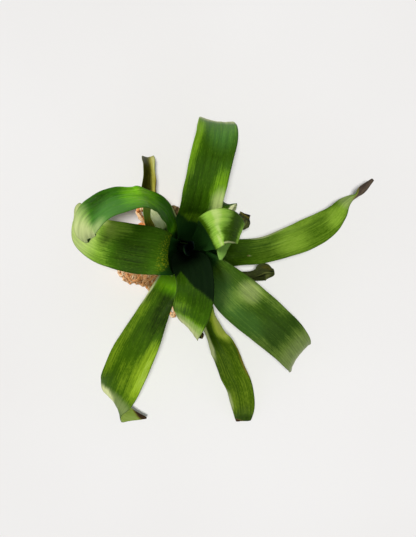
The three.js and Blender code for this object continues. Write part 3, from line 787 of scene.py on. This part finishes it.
LOOKS = {
    "heart_leaf_left": HEART,
    "heart_leaf_right": HEART,
    "leaf_rolled": dict(
        WARM_GREEN, bright=(136, 180, 64), tone=0.48, shade=level(0.27),
        streaks=0.1, lines=0.25, veins=0.5, ragged=0.2,
        under=(112, 154, 62), under_streak=(140, 182, 88),
        light=[(0.4, -0.65, 0.09, 0.8, 0.6), (0.355, 0.65, 0.085, 0.8, 0.6), (0.65, 0.3, 0.06, 1.4, 0.5)],
        pale=[
            (0.405, -0.75, 0.018, 0.6, 0.4), (0.388, 0.05, 0.018, 0.5, 0.3),
            (0.355, 0.75, 0.018, 0.5, 0.4), (0.5, 1, 0.1, 0.1, 0.9),
        ],
        dark=[(0.53, 0, 0.05, 3, 0.4), (0.27, -0.7, 0.05, 0.7, 0.35)],
    ),
    # Its painted shade reaches far up the cup side of the blade and ends in a crisp edge: a painted cast
    # shadow.
    "leaf_front": dict(
        GREEN, tone=0.27, dry_tip=(0.94, 0.99), shade_edge=0.012, shadow=(3, 19, 5),
        under=(16, 15, 3), under_streak=(28, 26, 10),
        shade=(
            (-1, 0.38), (-0.6, 0.345), (-0.3, 0.315), (0.05, 0.284), (0.3, 0.233), (0.5, 0.15),
            (0.6, 0.09), (0.8, 0.13), (1, 0.18),
        ),
        light=[(0.53, 0.4, 0.1, 1.4, 0.2), (0.67, 0, 0.08, 3, 0.5), (0.46, 0.8, 0.14, 0.7, 0.3)],
        pale=[(0.68, 0, 0.05, 3, 0.25), (0.76, 0, 0.06, 3, 0.65), (0.75, 0.9, 0.06, 0.4, 0.4)],
    ),
    "leaf_left": dict(
        WARM_GREEN, mid=(54, 90, 10), bright=(124, 162, 50), tone=0.37, shade_edge=0.012,
        specular=0.02,
        shade=((-1, 0.155), (-0.75, 0.125), (-0.6, 0.11), (-0.4, 0.08), (0, 0.04), (1, 0.04)),
        light=[
            (0.14, -0.5, 0.09, 0.7, 0.12), (0.02, -0.2, 0.06, 0.7, 0.45), (0.46, 0.8, 0.15, 0.6, 0.48),
            (0.58, 0.2, 0.16, 2.5, 0.4), (0.82, 0, 0.22, 3, 0.4),
        ],
        dark=[(0.33, -0.35, 0.15, 0.9, 0.45), (0.48, -0.3, 0.08, 0.6, 0.3), (0.03, 0.9, 0.08, 0.5, 0.5)],
        pale=[(0.62, 1, 0.1, 0.25, 0.5), (0.83, 0, 0.2, 3, 0.35), (0.98, 0, 0.08, 3, 0.3)],
        speck=[(0.1, -0.1, 0.07, 1.2, 0.75)],
    ),
    "leaf_back": dict(
        GREEN, tone=0.36, shade=((-1, 0.06), (-0.6, 0.015), (-0.3, -0.02), (1, -0.02)), shade_edge=0.015,
        light=[
            (0.44, -1, 0.32, 0.45, 0.5), (0, 0, 0.06, 2, 0.35), (0.18, 0.75, 0.14, 0.5, 0.45),
            (0.55, 0, 0.15, 2, 0.2),
        ],
        dark=[(0.12, -0.45, 0.12, 0.4, 0.15)],
        pale=[(0.13, 0.85, 0.08, 0.45, 0.5), (0.66, 0, 0.085, 3, 0.65), (0.8, 0, 0.16, 3, 0.3)],
        shift_and_sheen=[(0.52, 0.25, 0.14, 1, 0.5)],
    ),
    "leaf_front_right": dict(
        WARM_GREEN, mid=(56, 88, 14), bright=(124, 152, 58), glow=(172, 190, 112),
        tone=0.42, shade=((-1, 0.05), (-0.2, 0.05), (0.3, 0.06), (1, 0.08)),
        shade_edge=0.03, under=(88, 114, 42), under_streak=(104, 130, 60),
        shift_and_sheen=[(0.15, 0.5, 0.13, 0.8, 0.3), (0.33, 0.6, 0.1, 0.6, 0.2)],
        light=[
            (0.245, -0.45, 0.08, 0.75, 0.3), (0.36, -0.9, 0.12, 0.35, 0.22), (0.2, 0.3, 0.06, 0.5, 0.3),
            (0.46, 0.95, 0.12, 0.35, 0.25), (0.62, 0, 0.1, 3, 0.4),
        ],
        pale=[
            (0.24, -0.55, 0.06, 0.5, 0.22), (0.64, 0, 0.07, 3, 0.15), (0.76, 0, 0.09, 3, 0.4),
            (0.86, 0, 0.12, 3, 0.15),
        ],
        creases=((0.72, 0.35, 0.06, 0.12, 0.6), (0.86, 0.3, 0.05, 0.1, 0.45)),
    ),
    # Its dry mark at the tip and its turning and brown colours are dark greens: partly the tip's own dark
    # colour, partly painted shadow of the curled tip.
    "leaf_loop": dict(
        FRESH_GREEN, tone=0.34, shade=((-1, 0.06), (0.5, 0.0), (1, -0.02)),
        turning=(70, 104, 44), brown=(40, 60, 24), brown_dark=(20, 34, 12), specular=0.04,
        light=[
            (0.43, 0.3, 0.14, 1.4, 0.62), (0.02, 0, 0.09, 3, 0.45), (0.26, -0.2, 0.1, 1.2, 0.12),
            (0.72, -0.9, 0.12, 0.4, 0.2), (0.9, 0, 0.13, 3, 0.4),
        ],
        shift_and_sheen=[(0.62, -0.45, 0.2, 0.9, 0.38)],
        pale=[(0.76, -0.9, 0.12, 0.5, 0.3), (0.94, 0, 0.14, 3, 0.75), (0.13, 1, 0.07, 0.16, 0.9)],
        dark=[(0.7, 0.6, 0.08, 0.7, 0.45)],
        dry=[(0.985, -0.5, 0.022, 0.4, 1.2)],
        creases=(
            (-0.3, 0.3, 0.06, 0.5, 0.9), (0.1, 0.35, 0.06, 0.45, 0.88), (0.42, 0.3, 0.05, 0.5, 0.85),
        ),
    ),
    "leaf_front_left": dict(
        WARM_GREEN, tone=0.42, dry_tip=(0.92, 0.98), shade=level(-0.1),
        under=(152, 180, 66), under_streak=(176, 200, 98), shift_and_sheen_colour=(112, 186, 0),
        shift_and_sheen=[(0.03, 0.1, 0.08, 3, 0.8)],
        pale=[(0.07, 1, 0.12, 0.14, 1.3), (0.77, 0.65, 0.055, 0.6, 1.2), (0.75, 0, 0.05, 2, 0.2)],
        light=[
            (0.03, 0, 0.06, 3, 1), (0.5, -1, 0.2, 0.64, 0.56), (0.38, 0.95, 0.32, 0.45, 0.24),
            (0.58, -0.4, 0.14, 0.8, 0.2), (0.18, 0.35, 0.12, 0.5, 0.15),
        ],
        dark=[(0.2, -0.5, 0.15, 0.9, 0.75)],
    ),
    "leaf_right": dict(
        YELLOW_GREEN, mid=(68, 104, 6), bright=(136, 174, 50), tone=0.6,
        dry_tip=(0.84, 0.93), turning=(126, 114, 62),
        brown=(100, 86, 72), brown_dark=(30, 25, 24),
        dark=[(0.07, 0, 0.15, 3, 0.75)],
        light=[(0.43, 0.1, 0.11, 0.9, 0.4), (0.52, -0.95, 0.2, 0.4, 0.3), (0.73, 0.1, 0.08, 0.9, 0.4)],
        dry=[(0.197, 0.27, 0.008, 0.08, 0.6)],
        pale=[(0.206, 0.27, 0.006, 0.07, 0.6), (0.83, 0, 0.05, 2, 0.25), (0.32, -1, 0.12, 0.1, 0.7)],
    ),
    "leaf_front_folded": dict(
        YELLOW_GREEN, bright=(152, 180, 46), glow=(204, 220, 84), tone=0.53, dry_tip=(0.985, 1.02),
        light=[(0.31, -0.85, 0.105, 0.7, 1.3), (0.8, 0.8, 0.12, 0.4, 0.2)],
        pale=[(0.27, -0.9, 0.07, 0.4, 0.3), (0.32, 0.95, 0.14, 0.4, 2.2), (0.8, 1, 0.09, 0.2, 0.6)],
        dark=[(0.29, 0.25, 0.1, 0.35, 0.6), (0.38, 0.3, 0.08, 0.5, 0.35), (0.98, 0, 0.04, 3, 0.6)],
        dry=[(0.56, -1, 0.17, 0.2, 0.42)],
    ),
    "leaf_back_short": dict(
        GREEN, slot="leaf_olive", tone=0.5, specular=0.02, shade=level(-0.2),
        under=(190, 200, 142), under_streak=(208, 216, 164), sheen_and_highlight=(236, 242, 186),
        pale=[(0.44, 1, 0.07, 0.42, 2)],
        dark=[(0.5, 0, 0.06, 0.6, 0.3)],
    ),
    "leaf_back_folded": dict(
        OLIVE, tone=0.5, dry_tip=(0.93, 1.02), shade=level(-0.1), shift_and_sheen_colour=(126, 170, 80),
        shift_and_sheen=[(0.06, -0.6, 0.08, 1, 0.8)],
        dark=[(0.54, -0.6, 0.5, 0.45, 0.55)],
        light=[(0.5, 0.6, 0.6, 0.45, 0.5), (0.05, 0, 0.12, 2, 0.5)],
        pale=[(0.62, 0.85, 0.2, 0.35, 0.3)],
        dry=[(0.3, 1, 0.14, 0.14, 0.7)],
    ),
    "leaf_pale": dict(
        PALE, tone=0.55, lines=1.4, shade=level(-0.2), sheen_and_highlight=(228, 238, 206),
        light=[(0.15, -0.3, 0.3, 1, 0.5)],
        pale=[(0.15, -0.3, 0.3, 0.8, 0.6)],
    ),
    "dry_leaf_back_right": dict(
        DRY, tone=0.06, dry_tip=(0.86, 1.05), shade=level(-0.2), brown=(72, 66, 52),
        light=[(0.76, 0.6, 0.08, 0.5, 0.25)],
        dark=[(0.86, 0.8, 0.08, 0.3, 0.4)],
        dry=[(0.84, 0, 0.06, 0.5, 0.3)],
    ),
    # Painted shade over the base half of this leaf, which lies under the leaves above.
    "dry_leaf_right": dict(
        DRY, dry_tip=(0.9, 1.3), tone=0.32, shade=level(0.5), shadow=(26, 30, 12),
        light=[(0.9, 0.6, 0.06, 0.4, 0.5), (0.83, 0.12, 0.14, 0.09, 0.7)],
        dark=[(0.78, 0.3, 0.1, 0.18, 0.6), (0.97, -0.3, 0.04, 0.5, 0.6)],
        dry=[(0.9, -0.5, 0.08, 0.4, 0.35)],
    ),
    "dry_leaf_back": dict(
        DRY, dry_tip=(-0.5, -0.1), brown=(146, 122, 86), brown_dark=(62, 46, 32),
    ),
}


def make_leaf(name, number):
    look = LOOKS[name]
    points, faces, values = leaf_shape(LEAVES[name], look, number)
    piece = make_object(name + "_blade", points, faces, leaf_material(name + "_skin", look))
    give_values(piece, values)
    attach(piece, BODY)
    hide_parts(name)
    look.get("slot", "leaf_green")
    return piece


# Roots


def ball_point(angle, lift, proud):
    """A point on the root ball for a compass angle and a share of its height."""
    lump = 1
    for size, turns, rises, start in BALL_LUMPS:
        lump += size * math.sin(turns * angle + start + rises * lift)
    for at, reach, depth in BALL_HOLLOWS:
        edge = math.cos(math.radians(reach))
        lump -= depth * smooth(math.cos(angle - math.radians(at)), edge, 1)
    girth = math.sqrt(max(0.0, 1 - lift * lift))
    x = (BALL_HALF_WIDTH * lump + proud) * girth * math.cos(angle)
    y = (BALL_HALF_DEPTH * lump + proud) * girth * math.sin(angle)
    z = BALL_MIDDLE + (BALL_TOP - BALL_MIDDLE + proud) * lift
    return np.array([BALL_CENTRE[0] + x + BALL_SLANT * y, BALL_CENTRE[1] + y, z])


def in_seat(p, gap):
    """Whether a point is in the hollow in which the bulb of leaves sits."""
    along = float(np.dot(p - STOCK_FOOT, STOCK_AXIS))
    out = float(np.linalg.norm(p - STOCK_FOOT - STOCK_AXIS * along))
    room = STOCK_RADIUS + SEAT_ROOM + gap + max(0.0, along - SEAT_WIDENS_AT) * SEAT_WIDENING
    return along > -gap - SEAT_GAP and out < room


def root_path(draw, steps, stride, proud_range):
    """A curling walk over the ball, which starts and ends inside it."""
    angle = draw.uniform(0, 2 * math.pi)
    lift = draw.uniform(-0.6, CURLS_TO)
    way = draw.uniform(0, 2 * math.pi)
    curl = draw.choice((-1, 1)) * draw.uniform(0.2, 0.9)
    path = []
    for i in range(steps + 1):
        proud = -1.2 if i in (0, steps) else draw.uniform(*proud_range)
        path.append(ball_point(angle, lift, proud))
        angle += stride * math.cos(way) / math.sqrt(max(0.2, 1 - lift * lift))
        lift = min(CURLS_TO, max(CURLS_FROM, lift + stride * math.sin(way)))
        way += curl + draw.uniform(-0.25, 0.25)
    return np.array(path)


def clear_stretch(path, radius):
    """The first stretch of a path that is clear of the bulb's hollow and of the floor."""
    kept = []
    for p in path:
        if in_seat(p, radius) or p[2] < radius:
            if len(kept) > ROOT_SHORTEST:
                break
            kept = []
        else:
            kept.append(p)
    return np.array(kept) if len(kept) > ROOT_SHORTEST else None


def smooth_path(path, per_span):
    rows = np.zeros((len(path), 10))
    rows[:, :3] = path
    return along_spline(rows, np.linspace(0, len(path) - 1, per_span * (len(path) - 1) + 1))[:, :3]


def circle(count, side, other):
    """Points evenly round a circle of radius 1, from one direction towards the other."""
    a = 2 * np.pi * np.arange(count)[:, None] / count
    return np.cos(a) * side + np.sin(a) * other


def tube_faces(rings, sides):
    """Faces of a closed tube: quads between its rings, and a cap at both ends."""
    faces = [list(range(sides))[::-1], [(rings - 1) * sides + k for k in range(sides)]]
    for i in range(rings - 1):
        for k in range(sides):
            a, b = i * sides + k, i * sides + (k + 1) % sides
            faces.append([a, b, b + sides, a + sides])
    return faces


def root_tube(path, radius, draw):
    """A knobbly tube along a path, thinner at both ends."""
    n = len(path)
    heading = unit(np.gradient(path, axis=0) + 1e-9)
    side = np.array([0.3, 0.2, 0.93])
    points = []
    place = np.linspace(0, 1, n)
    knob = 1 + 0.22 * np.sin(place * n * draw.uniform(0.5, 0.9) + draw.uniform(0, 6))
    thin = np.clip(np.minimum(place, 1 - place) * 9, 0.35, 1) * knob
    thin = thin * np.array([draw.uniform(0.75, 1.2) for _ in range(n)])
    for i in range(n):
        side = unit(side - np.dot(side, heading[i]) * heading[i])
        points.append(path[i] + circle(ROOT_SIDES, side, np.cross(heading[i], side)) * radius * thin[i])
    return np.concatenate(points), tube_faces(n, ROOT_SIDES)


def loose_roots(draw):
    """Paths and thicknesses of the roots that reach out of the ball, each a twist of thin ones."""
    for radius, *spots in LOOSE_ROOTS:
        line = smooth_path(np.array(spots, float), 6)
        for turn in range(8):
            sway = np.array([[draw.uniform(-1, 1) for _ in range(3)] for _ in range(3 * len(spots))])
            place = np.linspace(0, len(sway) - 1, len(line))
            sway = np.stack([np.interp(place, range(len(sway)), column) for column in sway.T], axis=1)
            yield line + sway * radius * 1.1 * (turn > 0), radius * (0.45 if turn else 0.9)


def root_curls():
    """All curled roots over the ball, in one mesh: points, faces and a tone for each."""
    draw = random.Random(ROOT_SEED)
    points, faces, tones = [], [], []
    roots = list(loose_roots(draw))
    for many, steps, stride, radii, proud in CURLS:
        for _ in range(many):
            path = root_path(draw, steps, stride, proud)
            roots.append((smooth_path(path, 3), draw.uniform(*radii)))
    count = 0
    for path, radius in roots:
        tone = draw.random()
        path = clear_stretch(path, radius)
        if path is None:
            continue
        p, f = root_tube(path, radius, draw)
        faces += [[i + count for i in face] for face in f]
        points.append(p)
        tones.append(np.full(len(p), tone))
        count += len(p)
    return np.concatenate(points), faces, np.concatenate(tones)


def smoothed_copy(node, name, voxel):
    """A finer, rounded copy of a node's solid."""
    piece = in_scene(name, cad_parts[node].data.copy())
    remesh = piece.modifiers.new("remesh", "REMESH")
    remesh.mode = "VOXEL"
    remesh.voxel_size = voxel
    ease = piece.modifiers.new("ease", "SMOOTH")
    ease.factor = 0.5
    ease.iterations = 2
    graph = bpy.context.evaluated_depsgraph_get()
    mesh = bpy.data.meshes.new_from_object(piece.evaluated_get(graph))
    piece.modifiers.clear()
    piece.data = mesh
    mesh.polygons.foreach_set("use_smooth", [True] * len(mesh.polygons))
    return piece


def root_material():
    g = Graph("root_skin")
    place = g.node("ShaderNodeTexCoord").outputs["Object"]
    coarse = g.noise(g.scaled(place, (260.0, 260.0, 260.0)), detail=4.0, rough=0.65)
    fine = g.noise(g.scaled(place, (1100.0, 1100.0, 1100.0)), detail=3.0, rough=0.6)
    tone = g.math("MULTIPLY_ADD", g.value("tone"), 0.6, g.math("MULTIPLY", coarse, 0.5))
    colour = g.ramp(tone, [
        (0.12, srgb(118, 58, 26)), (0.27, srgb(212, 126, 66)),
        (0.47, srgb(244, 174, 112)), (0.74, srgb(252, 216, 174)),
    ])
    colour = g.mix(g.span(fine, 0.35, 0.55, 0.45, 0.0), colour, srgb(84, 40, 16))
    g.surface(colour, 0.82, 0.1)
    g.bump(g.math("ADD", coarse, fine), 0.6, 0.0007)
    return g.material


def make_roots():
    """The root ball: the solid's own form, rounded, with curled roots and rootlets over it."""
    core = smoothed_copy("root_mass", "root_core", 0.9 * MM)
    core_points = np.array([v.co for v in core.data.vertices]) / MM - BALL_AT
    core_faces = [list(p.vertices) for p in core.data.polygons]
    bpy.data.objects.remove(core)
    points, faces, tones = root_curls()
    start = len(core_points)
    faces = core_faces + [[i + start for i in face] for face in faces]
    points = np.concatenate([core_points, points])
    piece = make_object("root_ball", points, faces, root_material())
    # The core is darker low down, and everything towards the front is lighter as painted light.
    core_tone = 0.05 + 0.2 * np.clip((core_points[:, 2] - 4) / 25, 0, 1)
    sunned = 0.25 * smooth(-points[:, 1], -5, 20)
    give_values(piece, {"tone": np.concatenate([core_tone, tones]) + sunned})
    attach(piece, BODY)
    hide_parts("root_mass")
    return piece


# Stock


def stock_material():
    g = Graph("stock_bark")
    place = g.node("ShaderNodeTexCoord").outputs["Object"]
    rough = g.noise(g.scaled(place, (320.0, 320.0, 900.0)), detail=5.0, rough=0.65)
    fibre = g.noise(g.scaled(place, (1500.0, 1500.0, 300.0)), detail=3.0)
    tone = g.math("MULTIPLY_ADD", fibre, 0.4, g.math("MULTIPLY", rough, 0.6))
    colour = g.ramp(tone, [(0.3, srgb(48, 32, 20)), (0.52, srgb(104, 76, 46)), (0.75, srgb(158, 128, 84))])
    g.surface(colour, 0.85, 0.5)
    g.bump(tone, 0.8, 0.0008)
    return g.material


def make_stock():
    """The stock under the leaves: a low cone with the rings that old leaves left, and its stub."""
    ring = circle(STOCK_COLUMNS, STOCK_RIGHT, STOCK_BACK)
    turn = 2 * np.pi * np.arange(STOCK_COLUMNS)[:, None] / STOCK_COLUMNS
    cone = np.linspace(0, STOCK_TOP, 34)
    heights = np.concatenate([np.linspace(-STUB_DEPTH, -0.2, 8), cone])
    points = []
    bark, *pitches = BARK_RIPPLE
    for h in heights:
        radius = STUB_RADIUS
        if h >= 0:
            scar = SCAR_DEPTH + SCAR_WAVE * math.cos(h * SCAR_TURN)
            radius = max(NECK_RADIUS, STOCK_RADIUS * (1 - h / STOCK_RISE) - scar)
        if h > 0:
            radius = radius + bark * ripple(turn * radius, h, *pitches, 5)
        points.append(on_stock(h) + ring * radius)
    faces = tube_faces(len(heights), STOCK_COLUMNS)
    piece = make_object("stock", np.concatenate(points), faces, stock_material())
    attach(piece, BODY)
    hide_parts("stem")
    return piece


# Floor, light and camera

CAMERA_AT = (-0.0129, 0.0052, 0.900)
FOCAL_PIXELS = 965.0
FRAME_HEIGHT_PIXELS = 537.0
SENSOR = 36.0
FLOOR_HALF = 3.0
LIT_POINT = (0, 0, 0.07)

# The plant has a window's light from the left, a little from the right and a soft one from above;
# the table has its own. Azimuth and elevation in degrees, distance, size, power and colour.
LIGHTS = {
    "key": (158, 36, 1.3, 0.75, 17.5, (1.0, 0.98, 0.92)),
    "fill": (330, 40, 1.5, 0.9, 5.0, (0.95, 0.98, 1.0)),
    "sky": (0, 90, 1.6, 1.6, 5.0, (0.96, 0.98, 1.0)),
    "table": (90, 90, 2.5, 0.25, 53.0, (1.0, 0.985, 0.975)),
}


def make_camera():
    data = bpy.data.cameras.new("camera")
    data.sensor_width = SENSOR
    data.lens = FOCAL_PIXELS / FRAME_HEIGHT_PIXELS * SENSOR
    data.clip_start, data.clip_end = 0.01, 20.0
    camera = in_scene("camera", data)
    camera.location = CAMERA_AT
    bpy.context.scene.camera = camera


def make_floor():
    g = Graph("floor_paper")
    place = g.node("ShaderNodeTexCoord").outputs["Object"]
    mottle = g.noise(g.scaled(place, (3.0, 3.0, 3.0)), detail=2.0)
    colour = g.mix(g.span(mottle, 0.3, 0.7), (0.84, 0.832, 0.824), (0.865, 0.86, 0.855))
    g.surface(colour, 0.9, 0.1)
    mesh = bpy.data.meshes.new("floor")
    r = FLOOR_HALF
    mesh.from_pydata([(-r, -r, 0), (r, -r, 0), (r, r, 0), (-r, r, 0)], [], [(0, 1, 2, 3)])
    mesh.materials.append(g.material)
    floor = in_scene("floor", mesh)
    return floor


def make_area_light(name, azimuth, elevation, distance, size, power, colour):
    data = bpy.data.lights.new(name, "AREA")
    data.shape = "DISK"
    data.size = size
    data.energy = power
    data.color = colour
    light = in_scene(name, data)
    way = Vector(direction(azimuth, elevation))
    light.location = Vector(LIT_POINT) + way * distance
    light.rotation_mode = "QUATERNION"
    light.rotation_quaternion = way.to_track_quat("Z", "Y")
    return light


def make_world():
    """Soft light from all round."""
    world = bpy.data.worlds.new("studio")
    world.use_nodes = True
    bpy.context.scene.world = world
    background = next(n for n in world.node_tree.nodes if n.type == "BACKGROUND")
    background.inputs["Color"].default_value = (0.96, 0.98, 1.0, 1.0)
    background.inputs["Strength"].default_value = 0.24


def shine_on(light, name, pieces):
    """The light falls on these pieces alone."""
    group = bpy.data.collections.new(name)
    for piece in pieces:
        group.objects.link(piece)
    light.light_linking.receiver_collection = group


make_camera()
made = [make_leaf(name, number + 1) for number, name in enumerate(LEAVES)]
made.append(make_roots())
made.append(make_stock())
floor = make_floor()
make_world()
for name, settings in LIGHTS.items():
    light = make_area_light(name, *settings)
    shine_on(light, "lit_by_" + name, [floor] if name == "table" else made)

bpy.context.scene.view_settings.view_transform = "Standard"
